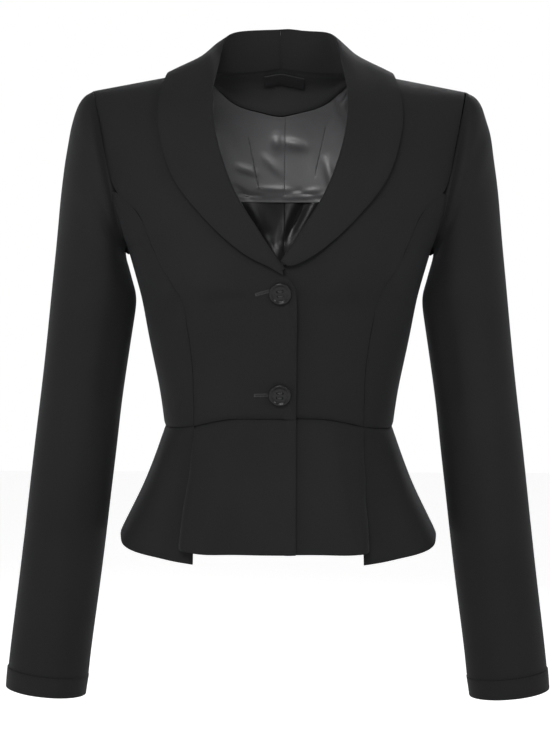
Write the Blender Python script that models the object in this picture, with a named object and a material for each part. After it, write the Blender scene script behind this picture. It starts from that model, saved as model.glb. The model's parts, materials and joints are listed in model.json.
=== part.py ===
"""Peplum jacket: shawl collar, princess-cut fronts, two buttons, hollow worn form.

Metres, +Z up, the front faces -Y and the wearer's left is +X.
The origin lies midway between the shoulder points.
"""
import math
from collections import namedtuple

import bmesh
import bpy
from mathutils import Matrix, Vector

MM = 0.001

# Cloth and seams
WALL = 2.0 * MM
FACING_WALL = 1.2 * MM
LINING_WALL = 1.0 * MM
COLLAR_WALL = 2.2 * MM
PEPLUM_WALL = 1.8 * MM
CUFF_WALL = 2.6 * MM
LABEL_WALL = 1.0 * MM
HALF_SEAM = 0.17 * MM
PRINCESS_TRIM = 1.7
LABEL_CENTRE_X = 4.3 * MM
LABEL_HALF = 22.0 * MM
LABEL_Z = (12.0 * MM, 23.5 * MM)
LINING_EASE = 1.6 * MM
LABEL_LIFT = 0.9 * MM
LEAF_LIFT = 1.1 * MM

# Body of the jacket
SHOULDER_HALF = 184.0 * MM
SHOULDER_TIP_Z = -2.0 * MM
SHOULDER_SLOPE = 0.19
YOKE_Z = -90.0 * MM
YOKE_PATH = 120.0 * MM
UNDERARM_Z = -160.0 * MM
NECK_HALF = 76.0 * MM
NECK_BACK_Z = 26.0 * MM
CHEST_BOW = 1.7
BACK_BOW_CENTRE = 3.0
BACK_BOW_TIP = 1.9
SECTION_POWER = 2.35
BUST_RISE = 9.0 * MM
BUST_AT = (84.0 * MM, -178.0 * MM)
BUST_SPREAD = (44.0 * MM, 46.0 * MM)

# Front edge, buttons and pleats
OVERLAP = 16.5 * MM
UNDERLAP_SINK = 2.8 * MM
UNDERLAP_FADE = (18.0 * MM, 58.0 * MM)
BUTTON_HEIGHTS = {"button_upper": -197.0 * MM, "button_lower": -295.5 * MM}
BUTTON_RADIUS = 10.8 * MM
BUTTON_X = 0.7 * MM
PLEAT_X = 83.0 * MM
PLEAT_START = 0.1
PLEAT_OVERHANG = {"right": 17.0 * MM, "left": 7.0 * MM}
PLEAT_DEPTH = (3.0 * MM, 9.5 * MM)
PLEAT_GAP = 0.9 * MM
PLEAT_FADE = 0.30
PLEAT_LEAN = 3.0 * MM
BUTTON_LIFT = 0.7 * MM
THREAD_HOLE = 0.95 * MM
THREAD_SPACING = 1.9 * MM

# Levels of the body: half width, depth of front and back, depth of the armhole
# edge at front and back, and the powers that shape the level's curve
Level = namedtuple("Level", "z half front back edge_front edge_back bow close_front close_back")
LEVELS = [
    Level(-340, 113.5, 90, 86, 0, 0, 2.35, 2.35, 2.35),
    Level(-320, 115.6, 92, 87, 0, 0, 2.35, 2.35, 2.35),
    Level(-290, 120.6, 97, 91, 0, 0, 2.35, 2.35, 2.35),
    Level(-250, 129.0, 104, 97, 0, 0, 2.35, 2.35, 2.35),
    Level(-215, 135.4, 111, 102, 0, 0, 2.35, 2.35, 2.35),
    Level(-185, 142.8, 116, 106, 0, 0, 2.35, 2.35, 2.35),
    Level(-160, 150.0, 117, 107, 0, 0, 2.35, 2.35, 2.35),
    Level(-147, 152.8, 115, 107, 34, 36, 2.4, 1.7, 1.45),
    Level(-131, 156.2, 112, 106, 47, 51, 2.5, 1.3, 1.18),
    Level(-110, 160.8, 107, 104, 54, 59, 2.6, 1.05, 1.05),
    Level(-90, 165.1, 102, 100, 55, 61, 2.6, 1.0, 1.0),
]

WAIST_Z = -330.0 * MM

# Waist seam: height by distance from the centre
Seam = namedtuple("Seam", "x z")
WAIST_FRONT = [Seam(0, -319.4), Seam(40, -319.8), Seam(66, -324), Seam(82, -328.6), Seam(114, -334)]
WAIST_BACK = [Seam(0, -331), Seam(60, -332), Seam(114, -334)]

# Princess seam of the front, from the waist up to the armhole
PRINCESS = [
    Seam(83.3, -328), Seam(82.9, -289), Seam(84.1, -269), Seam(89, -234), Seam(95.2, -212),
    Seam(105.5, -186.5), Seam(115.3, -169.7), Seam(133.5, -130), Seam(144, -112), Seam(163.2, -98),
]

# Front's inner edge: overlap edge, curve at the break, roll line, neck point
FRONT_EDGE = [
    Seam(-16.5, -340), Seam(-16.5, -206), Seam(-15.2, -195), Seam(-10.5, -186), Seam(-4, -179.5),
    Seam(4, -170.5), Seam(16, -153), Seam(30.5, -130), Seam(42.5, -112), Seam(53.5, -89.5),
    Seam(61.5, -67), Seam(67, -47), Seam(70, -29), Seam(71.5, -12), Seam(73.5, 3), Seam(76, 18.5),
]

# Peplum: fall from waist (0) to hem (1), added half width and depths
SIDE_SEAM_TURN = 0.0004
Flare = namedtuple("Flare", "fall half front back")
FLARES = [
    Flare(0.0, 0.0, 0.0, 0.0), Flare(0.13, 3.6, 3.0, 4.0), Flare(0.33, 11.6, 8.0, 12.0),
    Flare(0.51, 19.0, 13.5, 20.0), Flare(0.71, 29.2, 19.0, 28.5), Flare(1.0, 44.5, 25.0, 40.0),
]

# Hem heights by turn round the body: 0 centre front, 1 side, 2 centre back
Hem = namedtuple("Hem", "turn z")
FRONT_HEM = [Hem(0.0, -448), Hem(0.2, -448), Hem(0.36, -446), Hem(0.5, -444.5)]
SIDE_HEM = [
    Hem(0.3, -461), Hem(0.42, -459), Hem(0.56, -455), Hem(0.72, -449), Hem(1.0, -439.5),
    Hem(1.3, -443), Hem(1.65, -449), Hem(2.0, -451),
]

FALLS = [0.0, PLEAT_START, 0.25, 0.42, 0.6, 0.8, 1.0]

# Soft waves of the peplum at the hem: where, how far out, how wide
Wave = namedtuple("Wave", "turn rise width")
FRONT_WAVES = [Wave(0.12, -1.5, 0.07), Wave(0.27, 7.0, 0.085)]
SIDE_WAVES = [
    Wave(0.50, -3.5, 0.09), Wave(0.72, 5.5, 0.12), Wave(1.16, -3.5, 0.13),
    Wave(1.40, 5.0, 0.12), Wave(1.62, -4.0, 0.11), Wave(1.84, 4.0, 0.11),
]

# Sleeve rings: top point and under point seen from the front, depth each way
Ring = namedtuple("Ring", "top_x top_z under_x under_z front back shift")
RINGS = [
    Ring(191.0, -6.0, 152.2, -160.2, 58.0, 64.0, 0),
    Ring(200.5, -18.5, 153.4, -164.5, 58.5, 63.0, 0),
    Ring(207.2, -39.0, 152.6, -170.0, 57.0, 61.0, 0),
    Ring(211.2, -64.0, 150.6, -176.5, 55.5, 58.5, 0),
    Ring(214.6, -89.0, 148.2, -184.5, 54.0, 56.0, 0),
    Ring(217.9, -116.0, 145.6, -194.0, 52.0, 54.0, 0),
    Ring(221.4, -150.0, 142.6, -209.0, 50.5, 51.5, 0),
    Ring(225.8, -192.0, 145.4, -233.0, 48.5, 49.0, -1),
    Ring(230.6, -240.0, 150.8, -269.0, 46.5, 47.0, -2),
    Ring(236.0, -290.0, 156.8, -311.0, 44.5, 45.5, -4),
    Ring(241.8, -338.0, 161.6, -354.0, 43.0, 43.5, -6),
    Ring(247.3, -386.0, 166.9, -399.0, 42.0, 42.0, -9),
    Ring(253.0, -437.0, 172.6, -449.0, 41.0, 41.0, -12),
    Ring(259.3, -491.0, 179.3, -502.0, 40.5, 40.5, -15),
    Ring(265.8, -543.0, 186.1, -553.0, 40.0, 40.0, -18),
    Ring(269.5, -574.0, 189.6, -583.5, 39.5, 39.5, -19),
]
CUFF_RINGS = [
    Ring(270.9, -574.6, 188.6, -584.1, 40.9, 40.9, -19),
    Ring(271.9, -585.0, 190.2, -594.0, 40.9, 40.9, -19.5),
    Ring(272.6, -595.0, 191.6, -603.5, 40.4, 40.4, -20),
]

# Armhole round from the shoulder by the front, and columns of the back panel
ARMHOLE_FRONT = [0, 20, 40, 60, 80, 102.4, 120, 138, 154, 168]
ARMHOLE_BACK = [180, 192, 206, 224, 242, 260, 280, 300, 320, 340]
BACK_TURNS = [0, 0.045, 0.09, 0.14, 0.185, 0.2306, 0.31, 0.41, 0.53, 0.65, 0.77, 0.89, 1]
FACING_TURNS = BACK_TURNS[:6]
LINING_TURNS = BACK_TURNS[:11]

# Shawl collar stations from centre back to the break point. Back stations give
# points in space; front ones take their depth from the body.
Station = namedtuple("Station", "roll_x roll_y roll_z edge_x edge_z puff")
BACK_STATIONS = [
    Station(0, 57, 60.0, 0, 12, 1.5),
    Station(24, 55.5, 60.0, 32, 11, 1.5),
    Station(44, 46, 58.0, 64, 9.5, 1.5),
    Station(53.5, 33, 53.5, 88, 8, 1.0),
    Station(58, 19, 46.0, 102, 7, 1.0),
]
TOP_STATION = Station(60.5, 3, 36.0, 108.5, 12, 1.0)
FRONT_STATIONS = [
    Station(62.6, -18, 22, 113.5, 1, 1.5),
    Station(64.8, -44, 5.5, 116.6, -16, 1.5),
    Station(66.0, 0, -12.5, 116.8, -34, 2.0),
    Station(65.4, 0, -30, 113.6, -52, 1.5),
    Station(62.6, 0, -48, 107.6, -71.5, 1.5),
    Station(57.2, 0, -68, 99.4, -89, 1.5),
    Station(49.4, 0, -90, 87.6, -107.5, 1.5),
    Station(38.8, 0, -112.5, 70.2, -128, 1.2),
    Station(27.2, 0, -130.5, 50.0, -147.6, 1.0),
    Station(13.2, 0, -152.5, 29.4, -162, 0.6),
    Station(5.0, 0, -163.6, 14.6, -168.6, 0.3),
]
TIPS = {
    "right": [Station(0.5, 0, -169.6, 4.6, -174.2, 0.1), Station(-3.0, 0, -174.0, -3.6, -178.6, 0.0)],
    "left": [Station(2.6, 0, -167.0, 7.4, -169.6, 0.0)],
}

LEAF_SHARES = (0.12, 0.32, 0.55, 0.78, 1.0)
ROLL_PUFF = 0.6 * MM
STAND_PUFF = 1.0 * MM
STAND_INSET = 0.2 * MM
LIP_INSET = 0.8 * MM
LIP_SHARE = 0.55

# Facing's lower edge inside the neck
FACING_EDGE = [Seam(0, -23), Seam(41, -13), Seam(66, 6.5), Seam(74, 15)]
LINING_TUCK_Z = -112.0
LINING_HEM_Z = -312.0

Finish = namedtuple("Finish", "colour roughness metallic")
FINISHES = {
    "suiting": Finish((0.021, 0.021, 0.022), 0.82, 0.0),
    "satin": Finish((0.050, 0.050, 0.052), 0.35, 0.0),
    "label": Finish((0.016, 0.016, 0.017), 0.60, 0.0),
    "button": Finish((0.020, 0.020, 0.022), 0.22, 0.0),
}


def interpolate(rows, key, at, value):
    """Smooth reading of a table's column between its rows."""
    rows = sorted(rows, key=lambda row: getattr(row, key))
    places = [getattr(row, key) for row in rows]
    values = [getattr(row, value) for row in rows]
    if at <= places[0]:
        return values[0]
    if at >= places[-1]:
        return values[-1]
    last = len(rows) - 1
    i = max(k for k in range(last) if places[k] <= at)

    def slope(k):
        if k in (0, last):
            return 0.0 if last > 1 else (values[1] - values[0]) / (places[1] - places[0])
        before = (values[k] - values[k - 1]) / (places[k] - places[k - 1])
        after = (values[k + 1] - values[k]) / (places[k + 1] - places[k])
        if before * after <= 0.0:
            return 0.0
        return 2.0 * before * after / (before + after)

    span = places[i + 1] - places[i]
    t = (at - places[i]) / span
    if i == 0 or i == last - 1:
        chord = (values[i + 1] - values[i]) / span
        start = chord if i == 0 else slope(i)
        end = chord if i == last - 1 else slope(i + 1)
    else:
        start, end = slope(i), slope(i + 1)
    return (
        values[i] * (2 * t**3 - 3 * t**2 + 1)
        + span * start * (t**3 - 2 * t**2 + t)
        + values[i + 1] * (3 * t**2 - 2 * t**3)
        + span * end * (t**3 - t**2)
    )


def ease(low, high, value):
    """Smooth step from 0 at low to 1 at high."""
    t = min(1.0, max(0.0, (value - low) / (high - low)))
    return t * t * (3.0 - 2.0 * t)


def mix(a, b, t):
    return a + (b - a) * t


def level(z, column):
    """A column of the body's level table, in metres where it is a size."""
    scale = 1.0 if column in ("bow", "close_front", "close_back") else MM
    return interpolate(LEVELS, "z", z / MM, column) * scale


def shoulder_height(x):
    return SHOULDER_TIP_Z + (SHOULDER_HALF - abs(x)) * SHOULDER_SLOPE


def bow(side, x):
    """Roundness of the body's profile over the shoulder."""
    if side == "front":
        return CHEST_BOW
    return mix(BACK_BOW_CENTRE, BACK_BOW_TIP, min(1.0, abs(x) / SHOULDER_HALF))


def half_width(path):
    """Distance from the centre to the side seam or armhole along the path."""
    if path <= UNDERARM_Z:
        return level(path, "half")
    height = path
    if path > YOKE_Z:
        rise = math.sin(min(1.0, (path - YOKE_Z) / YOKE_PATH) * math.pi / 2) ** (2 / CHEST_BOW)
        height = YOKE_Z + (SHOULDER_TIP_Z - YOKE_Z) * rise
    share = (height - UNDERARM_Z) / (SHOULDER_TIP_Z - UNDERARM_Z)
    return mix(level(UNDERARM_Z, "half"), SHOULDER_HALF, share)


def across(path, turn):
    """Distance from the centre at a turn from 0, the centre line, to 1, the side."""
    reach = math.sin(min(1.0, abs(turn)) * math.pi / 2) ** (2 / SECTION_POWER)
    return math.copysign(half_width(path) * reach, turn)


def turn_at(path, x):
    share = min(1.0, abs(x) / half_width(path))
    return math.copysign(math.asin(share ** (SECTION_POWER / 2)) * 2 / math.pi, x)


def path_at(side, x, z):
    """Path height of a point whose distance from the centre and height are known."""
    if z <= YOKE_Z:
        return z
    share = min(1.0, (z - YOKE_Z) / (shoulder_height(x) - YOKE_Z))
    return YOKE_Z + YOKE_PATH * math.asin(share ** (bow(side, x) / 2)) * 2 / math.pi


def body_point(side, path, turn):
    """Outer face of the body's cloth."""
    x = across(path, turn)
    z = min(path, YOKE_Z)
    share = min(1.0, abs(x) / half_width(path))
    edge = level(z, "edge_" + side)
    open_share = 1.0 - share ** level(z, "bow")
    depth = edge + (level(z, side) - edge) * open_share ** (1.0 / level(z, "close_" + side))
    if side == "front":
        bust_x, bust_z = BUST_AT
        wide, tall = BUST_SPREAD
        depth += BUST_RISE * math.exp(-(((abs(x) - bust_x) / wide) ** 2) - ((path - bust_z) / tall) ** 2)
    if path > YOKE_Z:
        lean = min(1.0, (path - YOKE_Z) / YOKE_PATH) * math.pi / 2
        power = 2.0 / bow(side, x)
        depth *= max(0.0, math.cos(lean)) ** power
        z = YOKE_Z + (shoulder_height(x) - YOKE_Z) * math.sin(lean) ** power
    return Vector((x, -depth if side == "front" else depth, z))


def moved(side, path, turn, distance):
    """The turn that lies a short distance along the body from another one."""
    start = body_point(side, path, turn)
    sign = math.copysign(1.0, distance)
    low, high = 0.0, 0.05
    for _ in range(20):
        middle = (low + high) / 2
        if (body_point(side, path, turn + sign * middle) - start).length < abs(distance):
            low = middle
        else:
            high = middle
    return turn + sign * high


def body_normal(side, path, turn):
    step_path, step_turn = 0.4 * MM, 0.004
    top = YOKE_Z + YOKE_PATH
    low, high = min(path - step_path, top - 2 * step_path), min(path + step_path, top)
    left, right = max(turn - step_turn, -1.0), min(turn + step_turn, 1.0)
    along = body_point(side, high, turn) - body_point(side, low, turn)
    around = body_point(side, path, right) - body_point(side, path, left)
    normal = around.cross(along).normalized()
    return normal if side == "front" else -normal


def lay(side, path, turn, out=0.0):
    """A point on the body, moved out along its normal."""
    return body_point(side, path, turn) + body_normal(side, path, turn) * out


def on_body(side, x, z, out=0.0):
    path = path_at(side, x, z)
    return lay(side, path, turn_at(path, x), out)


def waist_z(side, x):
    return interpolate(WAIST_FRONT if side == "front" else WAIST_BACK, "x", abs(x) / MM, "z") * MM


def neck_path(x):
    """Back neck seam, from centre back up to the neck point on the shoulder."""
    low = path_at("back", 0.0, NECK_BACK_Z)
    share = min(1.0, abs(x) / NECK_HALF)
    return mix(low, YOKE_Z + YOKE_PATH, share**2.6)


def finish(name):
    material = bpy.data.materials.get(name)
    if material:
        return material
    look = FINISHES[name]
    material = bpy.data.materials.new(name)
    material.use_nodes = True
    shader = material.node_tree.nodes["Principled BSDF"]
    shader.inputs["Base Color"].default_value = (*look.colour, 1.0)
    shader.inputs["Roughness"].default_value = look.roughness
    shader.inputs["Metallic"].default_value = look.metallic
    return material


def make_object(name, bm, look):
    bmesh.ops.recalc_face_normals(bm, faces=bm.faces)
    mesh = bpy.data.meshes.new(name)
    bm.to_mesh(mesh)
    bm.free()
    mesh.materials.append(finish(look))
    mesh.shade_smooth()
    mesh.set_sharp_from_angle(angle=math.radians(40))
    piece = bpy.data.objects.new(name, mesh)
    bpy.context.scene.collection.objects.link(piece)
    return piece


def cloth(name, outer, inner, look, ring=False, mirrored=False):
    """One closed wall between an outer and an inner grid of points."""
    flip = -1.0 if mirrored else 1.0
    bm = bmesh.new()
    faces = []
    for grid in (outer, inner):
        faces.append([[bm.verts.new((p.x * flip, p.y, p.z)) for p in row] for row in grid])
    rows, cols = len(outer), len(outer[0])
    spans = cols if ring else cols - 1
    for skin, turn in zip(faces, (False, True)):
        for i in range(rows - 1):
            for j in range(spans):
                k = (j + 1) % cols
                corners = [skin[i][j], skin[i][k], skin[i + 1][k], skin[i + 1][j]]
                bm.faces.new(corners[::-1] if turn else corners)
    front, back = faces
    for j in range(spans):
        k = (j + 1) % cols
        bm.faces.new([front[0][k], front[0][j], back[0][j], back[0][k]])
        bm.faces.new([front[-1][j], front[-1][k], back[-1][k], back[-1][j]])
    if not ring:
        for i in range(rows - 1):
            bm.faces.new([front[i][0], front[i + 1][0], back[i + 1][0], back[i][0]])
            bm.faces.new([front[i + 1][-1], front[i][-1], back[i][-1], back[i + 1][-1]])
    return make_object(name, bm, look)


def even(count):
    """Shares from 0 to 1 in equal steps."""
    return [i / count for i in range(count + 1)]


def shares_of(places):
    """Shares from 0 to 1 of a rising list of places."""
    return [(place - places[0]) / (places[-1] - places[0]) for place in places]


def both_sides(turns):
    """A half's turns as the columns of a panel that crosses the centre."""
    return shares_of([-turn for turn in turns[:0:-1]] + turns)


def panel(name, side, left, right, bottom, top, rows, columns, look="suiting",
          out=None, wall=WALL, mirrored=False, trims=(1, 1, 1, 1)):
    """A panel on the body. left and right give turns by path, bottom and top give
    paths by x, rows and columns give shares from 0 to 1. trims says by how many
    half seams the left, right, bottom and top edges are cut back."""
    out = out or (lambda x, path: 0.0)
    outer, inner = [], []
    for i, share in enumerate(rows):
        outer.append([])
        inner.append([])
        for j, u in enumerate(columns):
            path = mix(bottom(0.0), top(0.0), share)
            for _ in range(4):
                turn = mix(left(path), right(path), u)
                x = across(path, turn)
                path = mix(bottom(x), top(x), share)
            if j == 0 and trims[0]:
                turn = moved(side, path, turn, trims[0] * HALF_SEAM)
            if j == len(columns) - 1 and trims[1]:
                turn = moved(side, path, turn, -trims[1] * HALF_SEAM)
            if i == 0:
                path += trims[2] * HALF_SEAM
            if i == len(rows) - 1:
                path -= trims[3] * HALF_SEAM
            base = body_point(side, path, turn)
            normal = body_normal(side, path, turn)
            lift = out(x, path)
            outer[-1].append(base + normal * lift)
            inner[-1].append(base + normal * (lift - wall))
    return cloth(name, outer, inner, look, mirrored=mirrored)


def table_turn(rows, side):
    """Edge curve of a panel as a turn by path, from a table of points."""
    Point = namedtuple("Point", "path x")
    points = [Point(path_at(side, row.x * MM, row.z * MM) / MM, row.x) for row in rows]

    def turn(path):
        return turn_at(path, interpolate(points, "path", path / MM, "x") * MM)

    return turn


def centre_front(name, mirrored):
    roll = table_turn(FRONT_EDGE, "front")
    princess = table_turn(PRINCESS, "front")
    princess_top = PRINCESS[-1].z * MM

    def right(path):
        return 1.0 if path >= princess_top else princess(path)

    def out(x, path):
        if mirrored:
            return 0.0
        return -UNDERLAP_SINK * (1.0 - ease(*UNDERLAP_FADE, x))

    shoulder = YOKE_Z + YOKE_PATH
    waist = waist_z("front", PLEAT_X)
    places = [waist] + [z * MM for z in (-300, -276, -252, -228, -206, -194, -182, -170.5, -152, -134, -116)]
    places += [armhole_path(angle) for angle in ARMHOLE_FRONT[5::-1]]
    return panel(
        name, "front", roll, right, lambda x: waist_z("front", x), lambda x: shoulder,
        shares_of(places), even(9), out=out, mirrored=mirrored, trims=(0, PRINCESS_TRIM, 1, 1),
    )


def side_front(name, mirrored):
    princess = table_turn(PRINCESS, "front")
    top = (PRINCESS[-1].z - 2.6) * MM
    waist = waist_z("front", SHOULDER_HALF)
    places = [waist] + [z * MM for z in (-300, -270, -240, -212, -186)] + [UNDERARM_Z]
    places += [armhole_path(angle) for angle in ARMHOLE_FRONT[:5:-1]] + [top]
    return panel(
        name, "front", princess, lambda path: 1.0, lambda x: waist_z("front", x), lambda x: top,
        shares_of(places), even(5), mirrored=mirrored, trims=(PRINCESS_TRIM, 1, 1, 1),
    )


def back(name, mirrored):
    shoulder = YOKE_Z + YOKE_PATH
    waist = waist_z("back", SHOULDER_HALF)
    places = [waist] + [z * MM for z in (-300, -270, -240, -212, -186)]
    places += [armhole_path(angle) for angle in ARMHOLE_BACK] + [shoulder]
    return panel(
        name, "back", lambda path: 0.0, lambda path: 1.0, lambda x: waist_z("back", x),
        lambda x: neck_path(x) if x < NECK_HALF else shoulder,
        shares_of(places), BACK_TURNS, mirrored=mirrored,
    )


def bumps(waves, turn):
    return sum(w.rise * math.exp(-(((turn - w.turn) / w.width) ** 2)) for w in waves) * MM


def peplum_point(fall, turn, hem, out=0.0, waves=()):
    """Outer face of the peplum. turn runs from 0, centre front, over 1 to 2, centre back."""
    side = "front" if turn <= 1.0 else "back"
    quarter = turn if turn <= 1.0 else 2.0 - turn
    swing = abs(quarter) * math.pi / 2
    waist_x = level(WAIST_Z, "half") * math.sin(swing) ** (2 / SECTION_POWER)
    top = waist_z(side, waist_x)
    grow = interpolate(FLARES, "fall", fall, "half") * MM
    deepen = interpolate(FLARES, "fall", fall, side) * MM
    x = math.copysign((level(top, "half") + grow) * math.sin(swing) ** (2 / SECTION_POWER), quarter)
    y = (level(top, side) + deepen) * max(0.0, math.cos(swing)) ** (2 / SECTION_POWER)
    z = mix(top, interpolate(hem, "turn", abs(turn), "z") * MM, fall)
    point = Vector((x, -y if side == "front" else y, z))
    ahead = peplum_flat(fall, turn + 0.01) - peplum_flat(fall, turn - 0.01)
    normal = Vector((ahead.y, -ahead.x, 0.0)).normalized()
    return point + normal * (out + bumps(waves, abs(turn)) * fall), normal


def peplum_flat(fall, turn):
    """Plan of the peplum's plain section, for its normals."""
    quarter = turn if turn <= 1.0 else 2.0 - turn
    swing = quarter * math.pi / 2
    half = level(WAIST_Z, "half") + interpolate(FLARES, "fall", fall, "half") * MM
    side = "front" if turn <= 1.0 else "back"
    deep = level(WAIST_Z, side) + interpolate(FLARES, "fall", fall, side) * MM
    x = math.copysign(half * abs(math.sin(swing)) ** (2 / SECTION_POWER), swing)
    y = deep * abs(math.cos(swing)) ** (2 / SECTION_POWER)
    return Vector((x, -y if side == "front" else y, 0.0))


def peplum_turn(fall, x):
    half = level(WAIST_Z, "half") + interpolate(FLARES, "fall", fall, "half") * MM
    return math.copysign(math.asin(min(1.0, abs(x) / half) ** (SECTION_POWER / 2)) * 2 / math.pi, x)


def pleat_depth(fall):
    """How far the side peplum lies behind the front one at the pleat."""
    first, last = PLEAT_DEPTH
    if fall < PLEAT_START:
        return first * fall / PLEAT_START
    return mix(first, last, (fall - PLEAT_START) / (1.0 - PLEAT_START))


def shift_rows(grid, amount):
    return [Vector((p.x, p.y, p.z + amount)) for p in grid]


def peplum_front(name, mirrored):
    """Front peplum, its pleat edge rolled under."""
    side = "right" if mirrored else "left"
    sink = 0.0 if mirrored else UNDERLAP_SINK
    outer, inner = [], []
    columns = 11
    for row, fall in enumerate(FALLS):
        fold_x = PLEAT_X - HALF_SEAM
        fold_x += PLEAT_OVERHANG[side] * max(0.0, fall - PLEAT_START) / (1.0 - PLEAT_START)
        start, end = peplum_turn(fall, -OVERLAP), peplum_turn(fall, fold_x)
        row_out, row_in = [], []
        for j in range(columns + 1):
            turn = mix(start, end, j / columns)
            plain, _ = peplum_point(fall, turn, FRONT_HEM)
            lift = -sink * (1.0 - ease(*UNDERLAP_FADE, plain.x))
            roll = max(0.0, pleat_depth(fall) - PEPLUM_WALL - PLEAT_GAP) * (j == columns)
            point, normal = peplum_point(fall, turn, FRONT_HEM, lift - roll, FRONT_WAVES)
            row_out.append(point)
            row_in.append(point - normal * PEPLUM_WALL)
        outer.append(row_out)
        inner.append(row_in)
    outer[0] = shift_rows(outer[0], -HALF_SEAM)
    inner[0] = shift_rows(inner[0], -HALF_SEAM)
    return cloth(name, outer, inner, "suiting", mirrored=mirrored)


def peplum_side(name, mirrored):
    outer, inner = [], []
    columns = 8
    for fall in FALLS:
        start_x = PLEAT_X + HALF_SEAM + PLEAT_LEAN * fall
        start, end = peplum_turn(fall, start_x), 1.0 - SIDE_SEAM_TURN
        row_out, row_in = [], []
        for j in range(columns + 1):
            turn = mix(start, end, (j / columns) ** 0.9)
            hidden = 1.0 - ease(0.0, PLEAT_FADE, turn - start)
            point, normal = peplum_point(fall, turn, SIDE_HEM, -pleat_depth(fall) * hidden, SIDE_WAVES)
            row_out.append(point)
            row_in.append(point - normal * PEPLUM_WALL)
        outer.append(row_out)
        inner.append(row_in)
    outer[0] = shift_rows(outer[0], -HALF_SEAM)
    inner[0] = shift_rows(inner[0], -HALF_SEAM)
    return cloth(name, outer, inner, "suiting", mirrored=mirrored)


def peplum_back(name):
    outer, inner = [], []
    columns = 36
    for fall in FALLS:
        row_out, row_in = [], []
        for j in range(columns + 1):
            turn = mix(1.0 + SIDE_SEAM_TURN, 3.0 - SIDE_SEAM_TURN, j / columns)
            flip = turn > 2.0
            point, normal = peplum_point(fall, 4.0 - turn if flip else turn, SIDE_HEM, 0.0, SIDE_WAVES)
            inside = point - normal * PEPLUM_WALL
            for p in (point, inside):
                p.x = -p.x if flip else p.x
            row_out.append(point)
            row_in.append(inside)
        outer.append(row_out)
        inner.append(row_in)
    outer[0] = shift_rows(outer[0], -HALF_SEAM)
    inner[0] = shift_rows(inner[0], -HALF_SEAM)
    return cloth(name, outer, inner, "suiting")


def armhole_path(angle):
    """Path height on the armhole's edge, by degrees round it from the shoulder."""
    z = mix(UNDERARM_Z, SHOULDER_TIP_Z, 0.5 + 0.5 * math.cos(math.radians(angle)))
    if z <= YOKE_Z:
        return z
    share = (z - YOKE_Z) / (SHOULDER_TIP_Z - YOKE_Z)
    return YOKE_Z + YOKE_PATH * math.asin(share ** (CHEST_BOW / 2)) * 2 / math.pi


def armhole_ring():
    """The armhole's edge with its normals, round from the shoulder by the front."""
    ring = []
    for angle in ARMHOLE_FRONT + ARMHOLE_BACK:
        side = "front" if angle <= 180 else "back"
        path = armhole_path(angle)
        ring.append((body_point(side, path, 1.0), body_normal(side, path, 1.0)))
    return ring


def sleeve_ring(ring):
    """Points round one ring of the sleeve, from its top by the front."""
    top = Vector((ring.top_x, 0.0, ring.top_z)) * MM
    under = Vector((ring.under_x, 0.0, ring.under_z)) * MM
    centre, half = (top + under) / 2, (top - under) / 2
    points = []
    for degrees in ARMHOLE_FRONT + ARMHOLE_BACK:
        angle = math.radians(degrees)
        deep = ring.front if degrees <= 180 else ring.back
        y = (ring.shift - deep * math.sin(angle)) * MM
        points.append(centre + half * math.cos(angle) + Vector((0.0, y, 0.0)))
    return points


def tube(name, rings, wall, first=None, mirrored=False):
    """A sleeve's wall. first gives the armhole ring with its own normals."""
    outer = [sleeve_ring(ring) for ring in rings]
    if first:
        outer.insert(0, [p for p, _ in first])
    inner = []
    count = len(outer[0])
    for i, row in enumerate(outer):
        low, high = max(i - 1, 0), min(i + 1, len(outer) - 1)
        inner.append([])
        for j, point in enumerate(row):
            if first and i == 0:
                normal = first[j][1]
            else:
                along = outer[high][j] - outer[low][j]
                around = row[(j + 1) % count] - row[j - 1]
                normal = along.cross(around).normalized()
                centre = sum(row, Vector()) / count
                if normal.dot(point - centre) < 0:
                    normal = -normal
            inner[-1].append(point - normal * wall)
    return cloth(name, outer, inner, "suiting", ring=True, mirrored=mirrored)


def sleeve(name, mirrored):
    gap = Vector((2 * HALF_SEAM, 0.0, 0.0))
    first = [(point + gap, normal) for point, normal in armhole_ring()]
    return tube(name, RINGS, WALL, first, mirrored)


def shawl_stations(side):
    """Side of the body, roll point, edge point and puff of the collar at each station."""
    lie = COLLAR_WALL + LEAF_LIFT
    stations = []
    for row in BACK_STATIONS + [TOP_STATION] + FRONT_STATIONS + TIPS[side]:
        behind = row in BACK_STATIONS
        where = "back" if behind else "front"
        edge_x, edge_z = row.edge_x * MM, row.edge_z * MM
        edge = on_body(where, edge_x, edge_z, lie)
        roll = Vector((row.roll_x, row.roll_y, row.roll_z)) * MM
        if not behind and row.roll_y == 0:
            roll = on_body(where, roll.x, roll.z, lie + ROLL_PUFF)
        stations.append((where, roll, edge, row.puff * MM))
    return stations


def clear_of_body(where, point, out):
    """Moves a point out along the body's normal until it is clear by out."""
    top = shoulder_height(point.x)
    path = path_at(where, point.x, min(point.z, top))
    turn = turn_at(path, point.x)
    normal = body_normal(where, path, turn)
    short = out - (point - body_point(where, path, turn)).dot(normal)
    return point + normal * short if short > 0.0 else point


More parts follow.
